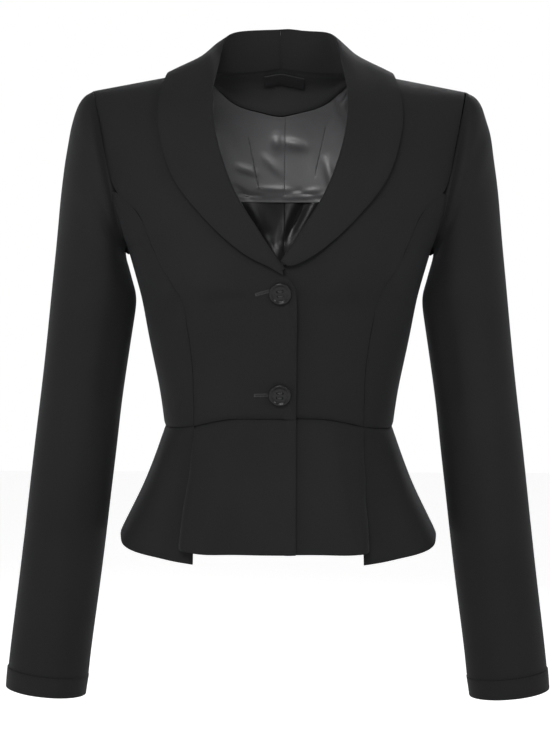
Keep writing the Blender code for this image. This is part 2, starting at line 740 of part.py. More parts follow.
def shawl_face(side):
    """Rows of the collar's visible face, from its base over the roll to its edge."""
    stations = shawl_stations(side)
    count = len(stations)
    neck = table_turn(FRONT_EDGE, "front")
    visible = []
    for i, (where, roll, edge, puff) in enumerate(stations):
        before, after = stations[max(i - 1, 0)][1], stations[min(i + 1, count - 1)][1]
        along = (after - before).normalized()
        leaf = edge - roll
        outward = leaf.cross(along).normalized()
        if outward.dot(roll - Vector((0.0, 0.0, -0.2))) < 0:
            outward = -outward
        if i <= len(BACK_STATIONS):
            base_x = roll.x * NECK_HALF / (TOP_STATION.roll_x * MM)
            base_path = neck_path(base_x)
            base = body_point("back", base_path, turn_at(base_path, base_x))
            base.z += 2 * HALF_SEAM
            inward = Vector((-base.x, -base.y - 0.02, 0.0)).normalized()
            base = base + inward * STAND_INSET
            lip = [base, (base + roll) / 2 + inward * STAND_PUFF]
            crest = roll + outward * ROLL_PUFF
        else:
            path = path_at("front", roll.x, min(roll.z, shoulder_height(roll.x)))
            turn = neck(path)
            edge_point = body_point("front", path, turn)
            normal = body_normal("front", path, turn)
            across_way = (body_point("front", path, turn + 0.01) - edge_point).normalized()
            base = edge_point - across_way * (COLLAR_WALL + LIP_INSET) - normal * WALL
            lip = [base, base.lerp(roll, LIP_SHARE)]
            crest = roll
        row = lip + [crest]
        for share in LEAF_SHARES:
            bulge = puff * 4 * share * (1 - share)
            point = roll.lerp(edge, share) + outward * bulge
            row.append(clear_of_body(where, point, COLLAR_WALL + LEAF_LIFT))
        visible.append(row)
    return visible


def shawl(name, mirrored):
    visible = shawl_face("right" if mirrored else "left")
    rows, cols = len(visible), len(visible[0])
    hidden = []
    for i in range(rows):
        hidden.append([])
        for j in range(cols):
            along = visible[min(i + 1, rows - 1)][j] - visible[max(i - 1, 0)][j]
            around = visible[i][min(j + 1, cols - 1)] - visible[i][max(j - 1, 0)]
            normal = around.cross(along).normalized()
            hidden[-1].append(visible[i][j] - normal * COLLAR_WALL)
    for grid in (visible, hidden):
        for point in grid[0]:
            point.x = HALF_SEAM
    return cloth(name, visible, hidden, "suiting", mirrored=mirrored)


def neck_facing(name):
    depth = -(WALL + LINING_EASE)

    def bottom(x):
        z = interpolate(FACING_EDGE, "x", abs(x) / MM, "z") * MM
        return path_at("back", x, z)

    reach = FACING_TURNS[-1]
    return panel(
        name, "back", lambda path: -reach, lambda path: reach, bottom, neck_path, even(3),
        both_sides(FACING_TURNS), out=lambda x, path: depth, wall=FACING_WALL, trims=(0, 0, 1, 1),
    )


def lining(name, lower):
    depth = -(WALL + LINING_EASE)
    tuck = LINING_TUCK_Z * MM
    lap = LINING_WALL + LINING_EASE

    def top(x):
        if lower:
            return tuck + 7 * MM
        z = interpolate(FACING_EDGE, "x", abs(x) / MM, "z") * MM
        edge = path_at("back", x, z) - 1.0 * MM
        return mix(edge, YOKE_Z + YOKE_PATH - 4 * MM, ease(78 * MM, 96 * MM, abs(x)))

    def bottom(x):
        return LINING_HEM_Z * MM if lower else tuck

    def out(x, path):
        if lower:
            return depth
        return depth - lap * (1 - ease(tuck + 9 * MM, tuck + 24 * MM, path))

    reach = LINING_TURNS[-1]
    rows = [0, 0.05, 0.12, 0.24, 0.38, 0.54, 0.7, 0.85, 1]
    if lower:
        places = [LINING_HEM_Z * MM] + [z * MM for z in (-270, -240, -212, -186)]
        places += [armhole_path(angle) for angle in ARMHOLE_BACK[:5]] + [tuck + 7 * MM]
        rows = shares_of(places)
    return panel(
        name, "back", lambda path: -reach, lambda path: reach, bottom, top,
        rows, both_sides(LINING_TURNS), look="satin", out=out, wall=LINING_WALL, trims=(0, 0, 0, 0),
    )


def neck_label(name):
    depth = -(WALL + LINING_EASE + FACING_WALL + LABEL_LIFT)
    low, high = (path_at("back", 0.0, z) for z in LABEL_Z)
    shoulder = YOKE_Z + YOKE_PATH
    left, right = (turn_at(shoulder, LABEL_CENTRE_X + side * LABEL_HALF) for side in (-1, 1))
    return panel(
        name, "back", lambda path: left, lambda path: right, lambda x: low, lambda x: high,
        even(1), even(5), look="label", out=lambda x, path: depth, wall=LABEL_WALL, trims=(0, 0, 0, 0),
    )


def button(name, height):
    """Four-hole button with a raised rim, flat on the overlap."""
    radius = BUTTON_RADIUS
    profile = [
        (0.0, 0.0), (0.80, 0.0), (0.97, 0.5), (1.0, 1.3), (0.97, 2.5), (0.88, 3.1),
        (0.76, 2.7), (0.68, 1.9), (0.0, 1.9),
    ]
    bm = bmesh.new()
    line = [bm.verts.new((share * radius, 0.0, tall * MM)) for share, tall in profile]
    edges = [bm.edges.new(pair) for pair in zip(line, line[1:])]
    bmesh.ops.spin(
        bm, geom=line + edges, cent=(0, 0, 0), axis=(0, 0, 1), angle=2 * math.pi, steps=24,
        use_merge=True,
    )
    bmesh.ops.remove_doubles(bm, verts=bm.verts, dist=0.01 * MM)
    piece = make_object(name, bm, "button")

    cutter_bm = bmesh.new()
    for sx, sy in ((1, 1), (1, -1), (-1, 1), (-1, -1)):
        bmesh.ops.create_cone(
            cutter_bm, cap_ends=True, segments=8, radius1=THREAD_HOLE, radius2=THREAD_HOLE, depth=8 * MM,
            matrix=Matrix.Translation((sx * THREAD_SPACING, sy * THREAD_SPACING, 1.5 * MM)),
        )
    cutter = make_object(name + "_holes", cutter_bm, "button")
    cutter.hide_render = True
    cutter.display_type = "WIRE"
    cut = piece.modifiers.new("thread holes", "BOOLEAN")
    cut.operation = "DIFFERENCE"
    cut.object = cutter

    seat = on_body("front", BUTTON_X, height, BUTTON_LIFT)
    path = path_at("front", BUTTON_X, height)
    normal = body_normal("front", path, turn_at(path, BUTTON_X))
    for thing in (piece, cutter):
        thing.location = seat
        thing.rotation_mode = "QUATERNION"
        thing.rotation_quaternion = normal.to_track_quat("Z", "Y")
    return piece


def build():
    for thing in list(bpy.data.objects):
        bpy.data.objects.remove(thing, do_unlink=True)
    for side, mirrored in (("right", True), ("left", False)):
        centre_front("front_" + side, mirrored)
        side_front("side_front_" + side, mirrored)
        back("back_" + side, mirrored)
        peplum_front("peplum_front_" + side, mirrored)
        peplum_side("peplum_side_" + side, mirrored)
        sleeve("sleeve_" + side, mirrored)
        tube("cuff_" + side, CUFF_RINGS, CUFF_WALL, mirrored=mirrored)
        shawl("shawl_" + side, mirrored)
    peplum_back("peplum_back")
    neck_facing("neck_facing")
    lining("lining_upper", lower=False)
    lining("lining_lower", lower=True)
    neck_label("neck_label")
    for name, height in BUTTON_HEIGHTS.items():
        button(name, height)


build()
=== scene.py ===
"""Peplum jacket: the finished cloth, satin lining, buttons, buttonholes and sewing.

Metres, the same frame as the solids: +Z up, the front faces -Y, the wearer's left is +X.
Tables of folds and seams are in millimetres.
"""

import json
import math
from collections import namedtuple

import bmesh
import bpy
import numpy as np
from mathutils import Matrix, Vector
from mathutils.bvhtree import BVHTree
from mathutils.kdtree import KDTree

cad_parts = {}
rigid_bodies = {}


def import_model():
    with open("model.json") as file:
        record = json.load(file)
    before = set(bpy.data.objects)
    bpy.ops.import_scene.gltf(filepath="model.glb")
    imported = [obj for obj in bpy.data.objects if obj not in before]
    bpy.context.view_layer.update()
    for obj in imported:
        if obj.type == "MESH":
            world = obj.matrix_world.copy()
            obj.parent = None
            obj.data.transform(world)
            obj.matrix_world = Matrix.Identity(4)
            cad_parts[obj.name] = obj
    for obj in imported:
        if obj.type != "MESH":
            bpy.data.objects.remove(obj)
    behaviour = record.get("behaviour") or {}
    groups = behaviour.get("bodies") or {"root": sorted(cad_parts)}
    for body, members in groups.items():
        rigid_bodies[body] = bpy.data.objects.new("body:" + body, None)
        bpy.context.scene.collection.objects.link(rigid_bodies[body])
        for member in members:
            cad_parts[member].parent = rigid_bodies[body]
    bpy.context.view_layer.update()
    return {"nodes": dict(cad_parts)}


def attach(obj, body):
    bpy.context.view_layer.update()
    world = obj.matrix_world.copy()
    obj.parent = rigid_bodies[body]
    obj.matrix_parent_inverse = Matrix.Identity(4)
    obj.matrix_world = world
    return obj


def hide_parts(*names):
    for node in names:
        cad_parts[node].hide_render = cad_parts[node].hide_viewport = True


for thing in list(bpy.data.objects):
    bpy.data.objects.remove(thing, do_unlink=True)

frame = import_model()

MM = 0.001
SIDES = {"right": -1.0, "left": 1.0}

# Reading the solids
WELD = 0.001 * MM
RIM_ANGLE = math.radians(58)
KEEP_ROUNDS = 2
ROLL_WIDE = 4.0 * MM
ROLL_WALL = 3.2 * MM
MIDDLE_REACH = 0.5 * MM
MIDDLE_GAP = 0.02 * MM
CLOSE_ROWS = {"shawl": 0.9 * MM, "side_front": 4.0 * MM, "": 1.85 * MM}

# The cloth's finished edges
EDGE_ROUND = 0.5 * MM
EDGE_ANGLE = math.radians(50)
EDGE_REACH = 5.0 * MM
WAIST_Z = -331.0 * MM
WAIST_BAND = 12.0 * MM
LAP = (5.0 * MM, 30.0 * MM)
FACING_TOP = 8.0 * MM

# How far the cloth stands out at an edge, and how far in from it that is felt
Rise = namedtuple("Rise", "height reach")
LAP_RISE = Rise(1.1 * MM, 5.0 * MM)
FACING_RISE = Rise(1.0 * MM, 4.0 * MM)
CUFF_SINK = 0.45 * MM
WAIST_RISE = Rise(-0.9 * MM, 2.4 * MM)
SEAM_RISE = Rise(-0.3 * MM, 2.0 * MM)

# How the flat cut is measured off the worn form
BODY_RADIUS = 0.118
YOKE_Z = -90.0 * MM
SHOULDER_RADIUS = 0.105
SLEEVE_RADIUS = 0.045
SLEEVE_TOP = (171.6 * MM, -83.1 * MM)
SLEEVE_LEAN = 0.1168
SLEEVE_SWING_Z = -210.0 * MM
SLEEVE_SWING = 0.052
NO_DEPTH = 1e-6

# How far an edge runs on under its neighbour, and how far it sinks there
SLEEVE_END = -500.0 * MM
SLEEVE_TUCK = 1.2 * MM
HEAD_REACH = 5.2 * MM
HEAD_SINK = 1.5 * MM
WAIST_REACH = 1.8 * MM
WAIST_SINK = 2.0 * MM
TOP_EDGE_RISE = 0.7

# The front skirt's pleat edge, turned back: least at its top, all of it further down
PLEAT_FROM = 50.0 * MM
PLEAT_TOP = -340.0 * MM
PLEAT_FALL = 100.0 * MM
PLEAT_TURN = 13.0 * MM
PLEAT_LEAST = 0.25
PLEAT_IN = 1.5 * MM

# The collar's stand, run down to the facing inside the back of the neck
STAND_HALF = 66.0 * MM
STAND_FRONT = 8.0 * MM
STAND_BACK = 53.0 * MM
STAND_BASE = 26.4 * MM
STAND_DROP = -6.4 * MM
STAND_OVER = 10.0 * MM
STAND_BLEND = 8.0 * MM
STAND_REACH = 4.0 * MM

# A soft crease or ridge from one point to another, in millimetres, shallower at its
# ends. On the body a point is its place in the front or back view; on a sleeve it is
# the distance round from the outer side (front positive) and the height.
Fold = namedtuple("Fold", "a_across a_up b_across b_up width depth")
END_SHARE = 0.35

# The right front laps over the left one; -X is the wearer's right
FRONT_FOLDS = [
    Fold(-112, -202, -86, -222, 17, -5.2), Fold(-90, -214, -34, -206, 12, -2.4),
    Fold(114, -194, 86, -216, 17, -4.6), Fold(88, -212, 30, -210, 13, -2.2),
    Fold(-73, -203, -26, -202, 4.5, -0.55), Fold(-66, -193, -27, -196, 5, 0.5),
    Fold(-58, -214, -24, -206, 5, 0.45), Fold(-162, -108, -128, -150, 7, 1.3),
    Fold(-150, -122, -122, -166, 5, -0.8), Fold(-143, -141, -121, -172, 3.5, 0.5),
    Fold(166, -103, 137, -151, 7.5, 1.3), Fold(155, -120, 131, -163, 5, -0.9),
    Fold(-104, -300, -70, -286, 9, 0.7), Fold(-106, -312, -58, -309, 6, -0.5),
    Fold(104, -302, 66, -292, 8, 0.6), Fold(107, -316, 62, -312, 7, -0.5),
    Fold(-62, -255, -30, -281, 12, 0.6), Fold(70, -250, 38, -270, 12, 0.5),
    Fold(-150, -40, -128, -84, 12, 0.7), Fold(150, -44, 131, -80, 12, 0.7),
]
OVERLAP_FOLDS = [
    Fold(17, -196, 16, -246, 7, 3.6), Fold(17, -256, 16, -300, 4, 1.0),
    Fold(-2, -224, -3, -262, 11, 0.5),
]
PEPLUM_FOLDS = [
    Fold(-16, -330, 4, -338, 7, -0.7), Fold(-52, -344, -60, -430, 15, 0.9),
    Fold(42, -342, 47, -440, 15, 0.8), Fold(66, -350, 84, -444, 8, -0.9),
    Fold(-76, -352, -92, -440, 8, 0.7), Fold(-30, -350, -30, -444, 13, -0.6),
    Fold(-108, -352, -124, -440, 9, 0.9), Fold(110, -350, 128, -440, 9, 0.9),
]
BACK_FOLDS = [
    Fold(62, -331, 74, -196, 8, -1.3), Fold(-62, -331, -74, -196, 8, -1.3),
    Fold(0, -330, 0, -120, 15, -1.2), Fold(86, -96, 90, -150, 26, 1.5),
    Fold(-84, -92, -92, -152, 26, 1.4), Fold(160, -96, 128, -150, 7, 1.2),
    Fold(-160, -104, -130, -146, 7, 1.3), Fold(150, -120, 120, -168, 5, -0.8),
    Fold(-149, -122, -118, -172, 5, -0.9), Fold(104, -306, 40, -298, 7, -0.9),
    Fold(-104, -300, -36, -306, 7, -1.0), Fold(100, -288, 46, -280, 6, 0.7),
    Fold(-102, -284, -42, -290, 6, 0.7), Fold(46, -62, 2, -58, 13, -0.6),
    Fold(-50, -60, 0, -66, 12, -0.5), Fold(106, -262, 62, -250, 9, -0.6),
    Fold(-108, -256, -60, -262, 9, -0.6),
]
BACK_PEPLUM_FOLDS = [
    Fold(20, -338, 26, -446, 13, 0.9), Fold(-22, -338, -30, -446, 13, 0.8),
    Fold(58, -340, 70, -446, 10, -0.8), Fold(-54, -340, -68, -446, 10, -0.9),
    Fold(88, -342, 108, -444, 9, 0.7), Fold(-90, -344, -112, -440, 9, 0.7),
]
SLEEVE_FOLDS = {
    "right": [
        Fold(100, -172, 104, -330, 15, -2.8), Fold(86, -330, 96, -520, 14, -1.2),
        Fold(72, -150, 100, -205, 8, 0.9), Fold(60, -182, 96, -236, 7, -0.8),
        Fold(88, -286, 128, -306, 7, -0.9), Fold(84, -312, 126, -324, 6, 0.7),
        Fold(92, -340, 128, -344, 7, -0.9), Fold(20, -262, 62, -250, 9, 0.4),
        Fold(-40, -296, -110, -318, 8, -0.9), Fold(-48, -322, -112, -338, 7, 0.8),
        Fold(-52, -346, -116, -352, 7, -0.7), Fold(-60, -150, -104, -212, 9, 0.9),
        Fold(-72, -176, -112, -246, 8, -1.0), Fold(10, -438, 60, -452, 10, -0.4),
        Fold(-30, -470, -90, -486, 9, -0.6), Fold(-84, -330, -92, -520, 14, -1.0),
        Fold(30, -520, 78, -530, 8, 0.4), Fold(0, -60, 10, -130, 20, 0.6),
    ],
    "left": [
        Fold(98, -176, 102, -338, 15, -2.6), Fold(88, -336, 94, -516, 14, -1.2),
        Fold(70, -158, 98, -214, 8, 0.8), Fold(62, -196, 98, -244, 7, -0.9),
        Fold(86, -294, 130, -310, 7, -0.8), Fold(90, -322, 126, -330, 6, 0.6),
        Fold(90, -352, 130, -358, 7, -0.8), Fold(16, -280, 58, -270, 9, 0.4),
        Fold(-44, -304, -108, -322, 8, -0.8), Fold(-50, -330, -110, -348, 7, 0.7),
        Fold(-56, -358, -112, -362, 7, -0.7), Fold(-62, -156, -100, -220, 9, 0.9),
        Fold(-70, -188, -110, -252, 8, -0.9), Fold(14, -420, 58, -436, 10, -0.4),
        Fold(-34, -456, -88, -478, 9, -0.5), Fold(-86, -336, -90, -516, 14, -1.0),
        Fold(26, -506, 72, -516, 8, 0.4), Fold(0, -64, 12, -126, 20, 0.6),
    ],
}
LINING_FOLDS = [
    Fold(-8, -52, 24, -54, 7, -1.0), Fold(-22, -98, 24, -100, 2.5, -0.7),
    Fold(-46, -104, -20, -106, 2.2, 0.9), Fold(6, -108, 48, -105, 2.2, -1.0),
    Fold(66, -70, 76, -104, 4.5, -2.2), Fold(-62, -40, -66, -90, 7, -1.4),
    Fold(-4, -44, -3, -58, 4, -2.6), Fold(5, -50, 26, -56, 4, -2.2),
    Fold(-16, -66, 2, -84, 3.5, -1.9), Fold(-44, -76, -24, -83, 3, -1.6),
    Fold(60, -5, 75, -34, 4.5, -3.5), Fold(48, -70, 57, -102, 4.5, -3.5),
    Fold(-46, -97, -30, -109, 3, 1.4), Fold(12, -99, 44, -108, 3, 1.4),
    Fold(14, -104, 40, -100, 2.5, -1.3), Fold(-60, -30, -44, -66, 8, 0.9),
    Fold(22, -30, 30, -74, 8, 0.7),
]
LOWER_LINING_FOLDS = [
    Fold(-34, -108, -14, -150, 9, -3.6), Fold(-36, -120, -22, -148, 4, 2.7),
    Fold(30, -105, 6, -152, 4.5, 3.3), Fold(40, -106, 14, -156, 4, -3.0),
    Fold(46, -118, 20, -168, 4, 3.0), Fold(-24, -146, -6, -178, 3.5, 3.0),
    Fold(-12, -150, 2, -182, 3.5, -2.7), Fold(12, -118, -2, -170, 4.5, -2.7),
    Fold(-60, -210, -20, -250, 9, -1.8), Fold(56, -220, 18, -262, 9, 1.8),
    Fold(-70, -268, 60, -284, 8, -1.5),
]
COLLAR_FOLDS = [
    Fold(-117, 2, -112, 17, 7, -1.2), Fold(117, 2, 112, 17, 7, -1.2),
    Fold(-111, -60, -88, -108, 11, 2.2), Fold(113, -56, 90, -108, 12, 2.6),
    Fold(-98, -60, -74, -104, 10, -0.5), Fold(98, -64, 76, -104, 10, -0.5),
    Fold(-36, -140, -54, -118, 7, 0.4), Fold(60, -120, 38, -140, 7, 0.4),
]

# A sewn line pressed into a skin
Line = namedtuple("Line", "a_across a_up b_across b_up")
LINING_SEAMS = [Line(5.2, -20, 5.2, -106), Line(-33, -46, -21, -101), Line(47, -36, 36.5, -85)]
LOWER_LINING_SEAMS = [Line(5.2, -106, 4.0, -300)]
SEAM_HALF = 0.8 * MM
SEAM_SINK = 0.7 * MM
SEAM_ROUND = 6.0 * MM

# One sewn piece: its wall and weave in the flat, how fine its skin is, and its cut
Cut = namedtuple("Cut", "node wall look levels folds seams held flat area rests")


def cut(node, wall, look, levels, folds, held, flat, area, rests=(), seams=()):
    return Cut(node, wall * MM, look, levels, folds, seams, held, flat, area, rests)


CUTS = [
    cut("peplum_back", 1.8, "suiting", 2, BACK_PEPLUM_FOLDS, "hung", (0.46, 0.15), 0.0439,
        ("back_right", "back_left")),
    # The facing wears the lighter, painted-light copy of the suiting.
    cut("neck_facing", 1.2, "facing", 2, [], "hung", (0.16, 0.065), 0.0076, ("back_right",)),
    cut("lining_upper", 1.0, "satin", 3, LINING_FOLDS, "hung", (0.36, 0.14), 0.0436,
        ("neck_facing",), LINING_SEAMS),
    # The lower lining wears the darker, painted-shade copy of the satin.
    cut("lining_lower", 1.0, "shade", 3, LOWER_LINING_FOLDS, "hung", (0.31, 0.21), 0.0603,
        ("lining_upper",), LOWER_LINING_SEAMS),
    cut("neck_label", 1.0, "label", 2, [], "laid", (0.044, 0.0155), 0.00068, ("neck_facing",)),
]
for side in SIDES:
    front_folds = FRONT_FOLDS + OVERLAP_FOLDS * (side == "right")
    CUTS += [
        cut("front_" + side, 2.0, "suiting", 3, front_folds, "hung", (0.20, 0.38), 0.0410),
        cut("side_front_" + side, 2.0, "suiting", 3, FRONT_FOLDS, "hung", (0.085, 0.26), 0.0187,
            ("front_" + side,)),
        cut("back_" + side, 2.0, "suiting", 3, BACK_FOLDS, "hung", (0.21, 0.40), 0.0692),
        cut("peplum_front_" + side, 1.8, "suiting", 3, PEPLUM_FOLDS, "hung", (0.115, 0.135), 0.0138,
            ("front_" + side,)),
        cut("peplum_side_" + side, 1.8, "suiting", 2, PEPLUM_FOLDS, "hung", (0.125, 0.14), 0.0130,
            ("side_front_" + side,)),
        cut("sleeve_" + side, 2.0, "suiting", 3, SLEEVE_FOLDS[side], "hung", (0.37, 0.60), 0.1325,
            ("side_front_" + side, "back_" + side)),
        cut("cuff_" + side, 2.6, "suiting", 2, [], "hung", (0.26, 0.021), 0.0049, ("sleeve_" + side,)),
        cut("shawl_" + side, 2.2, "suiting", 3, COLLAR_FOLDS, "folded", (0.11, 0.36), 0.0220,
            ("front_" + side, "back_" + side)),
    ]


class Wire:
    """An output of a shader node, so that shader maths reads as plain expressions."""

    def __init__(self, recipe, socket):
        self.recipe = recipe
        self.socket = socket

    def maths(self, operation, *values):
        """A maths node on some values, each a wire or a number."""
        return self.recipe.node("ShaderNodeMath", {"operation": operation}, dict(enumerate(values)))

    def other(self, name):
        """Another output of the same node."""
        return Wire(self.recipe, self.socket.node.outputs[name])

    def __add__(self, value):
        return self.maths("ADD", self, value)

    def __sub__(self, value):
        return self.maths("SUBTRACT", self, value)

    def __rsub__(self, value):
        return self.maths("SUBTRACT", value, self)

    def __mul__(self, value):
        return self.maths("MULTIPLY", self, value)

    __radd__ = __add__
    __rmul__ = __mul__


class Recipe:
    """The nodes of one finish."""

    def __init__(self, name, kind="materials", shader="Principled BSDF"):
        self.material = getattr(bpy.data, kind).new(name)
        self.material.use_nodes = True
        self.tree = self.material.node_tree
        self.shader = self.tree.nodes[shader]

    def feed(self, socket, value):
        """Links a wire to a socket, or sets its value."""
        if isinstance(value, Wire):
            self.tree.links.new(value.socket, socket)
        else:
            socket.default_value = value

    def node(self, kind, settings=None, sockets=None, output=0):
        """A new node: first its settings, then its sockets; gives one of its outputs."""
        made = self.tree.nodes.new(kind)
        for name, value in (settings or {}).items():
            setattr(made, name, value)
        for key, value in (sockets or {}).items():
            self.feed(made.inputs[key], value)
        return Wire(self, made.outputs[output])

    def scaled(self, vector, x, y, z=1.0):
        return self.node("ShaderNodeMapping", {}, {"Vector": vector, "Scale": (x, y, z)})

    def noise(self, vector, scale, detail=2.0):
        return self.node("ShaderNodeTexNoise", {}, {"Vector": vector, "Scale": scale, "Detail": detail})

    def between(self, share, first, second):
        """A colour from one to another."""
        colours = {0: share, 6: (*first, 1.0), 7: (*second, 1.0)}
        return self.node("ShaderNodeMix", {"data_type": "RGBA"}, colours, output=2)

    def ramp(self, value, start, end):
        """From 0 at the start to 1 at the end, eased at both."""
        sockets = {"Value": value, "From Min": start, "From Max": end}
        return self.node("ShaderNodeMapRange", {"interpolation_type": "SMOOTHSTEP"}, sockets)

    def raised(self, height, distance, strength=1.0):
        sockets = {"Height": height, "Distance": distance, "Strength": strength}
        return self.node("ShaderNodeBump", {}, sockets)

    def finish(self, **sockets):
        """Sets the shader's sockets, named with _ for spaces."""
        for name, value in sockets.items():
            if isinstance(value, tuple) and len(value) == 3:
                value = (*value, 1.0)
            self.feed(self.shader.inputs[name.replace("_", " ")], value)
        return self.material


def twill(recipe, rib, slope):
    """Ribs of a twill weave on the cut's own measures, from 0 to 1, and the cut's vector."""
    flat = recipe.node("ShaderNodeUVMap", {"uv_map": "cut"})
    across = recipe.node("ShaderNodeSeparateXYZ", {}, {0: flat})
    phase = (across + across.other("Y") * slope) * (2 * math.pi / rib)
    return phase.maths("SINE", phase) * 0.5 + 0.5, flat


def suiting(name, dark, light):
    """Charcoal black twill with a dry hand, with painted shade that darkens it near every edge and seam
    of a piece.
    """
    recipe = Recipe(name)
    ribs, flat = twill(recipe, 0.9 * MM, 1.55)
    yarn = recipe.noise(recipe.scaled(flat, 380.0, 2600.0), 1.0)
    fleck = recipe.noise(recipe.scaled(flat, 1900.0, 700.0), 1.0)
    place = recipe.node("ShaderNodeTexCoord", {}, {}, "Object")
    cloud = recipe.noise(place, 11.0, 3.0)
    # near_edge carries painted shade: the colour below darkens near each edge and seam; the rest is
    # weave, yarn, fleck and random cloud tone.
    edge = recipe.node("ShaderNodeAttribute", {"attribute_name": "near_edge"}, {}, "Fac")
    shade = ribs * 0.22 + yarn * 0.30 + fleck * 0.22 + cloud * 0.26 - edge * 0.12
    weave = ribs * 0.7 + yarn * 0.3
    return recipe.finish(
        Base_Color=recipe.between(shade, dark, light),
        Roughness=0.84 - cloud * 0.10 + ribs * 0.04,
        Normal=recipe.raised(weave, 0.09 * MM),
        Specular_IOR_Level=0.14,
        Sheen_Weight=0.03,
        Sheen_Roughness=0.42,
        Sheen_Tint=(0.9, 0.93, 1.0),
    )


def satin(name, dark, light):
    """Grey lining satin: long floats that catch the light in soft bands."""
    recipe = Recipe(name)
    ribs, flat = twill(recipe, 0.35 * MM, 0.4)
    floats = recipe.noise(recipe.scaled(flat, 2400.0, 160.0), 1.0, 3.0)
    place = recipe.node("ShaderNodeTexCoord", {}, {}, "Object")
    cloud = recipe.noise(place, 24.0, 3.0)
    return recipe.finish(
        Base_Color=recipe.between(floats * 0.6 + cloud * 0.4, dark, light),
        Roughness=0.33 + floats * 0.08 + cloud * 0.08,
        Normal=recipe.raised(ribs * 0.4 + floats * 0.3 + cloud * 1.5, 0.04 * MM),
        Specular_IOR_Level=0.5,
        Sheen_Weight=0.06,
        Anisotropic=0.35,
    )


def woven_label():
    """Plain black taffeta with a dry, ribbed face."""
    recipe = Recipe("label_taffeta")
    ribs, flat = twill(recipe, 0.5 * MM, 0.0)
    pick = recipe.noise(recipe.scaled(flat, 900.0, 5200.0), 1.0)
    return recipe.finish(
        Base_Color=recipe.between((ribs + pick) * 0.5, (0.008, 0.008, 0.009), (0.022, 0.022, 0.024)),
        Roughness=0.55 + pick * 0.15,
        Normal=recipe.raised(ribs, 0.06 * MM),
        Specular_IOR_Level=0.35,
    )


def button_resin():
    """Polished dark resin with a faint cloudy grain."""
    recipe = Recipe("button_resin")
    place = recipe.node("ShaderNodeTexCoord", {}, {}, "Object")
    swirl = recipe.noise(recipe.scaled(place, 1.0, 1.0, 2.6), 160.0, 4.0)
    wear = recipe.noise(place, 900.0, 2.0)
    return recipe.finish(
        Base_Color=recipe.between(swirl, (0.004, 0.004, 0.0045), (0.012, 0.012, 0.012)),
        Roughness=0.14 + swirl * 0.06 + wear * 0.05,
        Normal=recipe.raised(wear, 0.01 * MM),
        Specular_IOR_Level=0.14,
    )


def thread(name, dark, light, twist=0.6):
    """Twisted sewing thread."""
    recipe = Recipe(name)
    place = recipe.node("ShaderNodeTexCoord", {}, {}, "Object")
    spot = recipe.node("ShaderNodeSeparateXYZ", {}, {0: place})
    phase = (spot + spot.other("Z") * 1.3 + spot.other("Y")) * (2 * math.pi / (twist * MM))
    strand = phase.maths("SINE", phase) * 0.5 + 0.5
    fuzz = recipe.noise(place, 3200.0)
    return recipe.finish(
        Base_Color=recipe.between(strand * 0.6 + fuzz * 0.4, dark, light),
        Roughness=0.6 + fuzz * 0.2,
        Normal=recipe.raised(strand, 0.05 * MM),
        Sheen_Weight=0.15,
    )


def backdrop_paint():
    """Pale grey under the jacket, shining white further off."""
    recipe = Recipe("backdrop")
    place = recipe.node("ShaderNodeTexCoord", {}, {}, "Object")
    away = recipe.node("ShaderNodeVectorMath", {"operation": "LENGTH"}, {0: place}, "Value")
    far = recipe.ramp(away, 1.0, 2.0)
    tone = recipe.noise(place, 0.6)
    return recipe.finish(
        Base_Color=recipe.between(tone * 0.1 + far * 0.9, (0.50, 0.50, 0.50), (0.84, 0.84, 0.84)),
        Roughness=0.9,
        Specular_IOR_Level=0.1,
        Emission_Color=recipe.between(far, (0.0, 0.0, 0.0), (1.0, 1.0, 1.0)),
        Emission_Strength=0.6,
    )


LOOKS = {
    "suiting": suiting("suiting_twill", (0.0032, 0.0032, 0.0034), (0.0098, 0.0098, 0.0102)),
    # Painted light: the facing's copy of the suiting is lighter, to lift it out of the shade under the
    # collar.
    "facing": suiting("facing_twill_painted_light", (0.0160, 0.0160, 0.0163), (0.0330, 0.0330, 0.0336)),
    "satin": satin("lining_satin", (0.042, 0.042, 0.044), (0.088, 0.088, 0.092)),
    # Painted shade: a much darker copy of the lining satin for the lower lining, which sits deeper in
    # the jacket.
    "shade": satin("lining_satin_painted_shade", (0.003, 0.003, 0.0032), (0.011, 0.011, 0.0114)),
    "label": woven_label(),
    "button": button_resin(),
    "button_thread": thread("button_thread", (0.0012, 0.0012, 0.0013), (0.0045, 0.0045, 0.0047)),
    "hole_thread": thread("buttonhole_thread", (0.0055, 0.0055, 0.0057), (0.0150, 0.0150, 0.0155)),
}


def corner_error(edge):
    """How far the two triangles at an edge are from one flat quad with square corners."""
    first, second = edge.link_faces
    tip = next(v for v in first.verts if v not in edge.verts)
    other = next(v for v in second.verts if v not in edge.verts)
    ring = [edge.verts[0], tip, edge.verts[1], other]
    error = 2 * first.normal.angle(second.normal, 0.0)
    for i, corner in enumerate(ring):
        back, ahead = ring[i - 1].co - corner.co, ring[(i + 1) % 4].co - corner.co
        error += abs(back.angle(ahead, 0.0) - math.pi / 2)
    return error


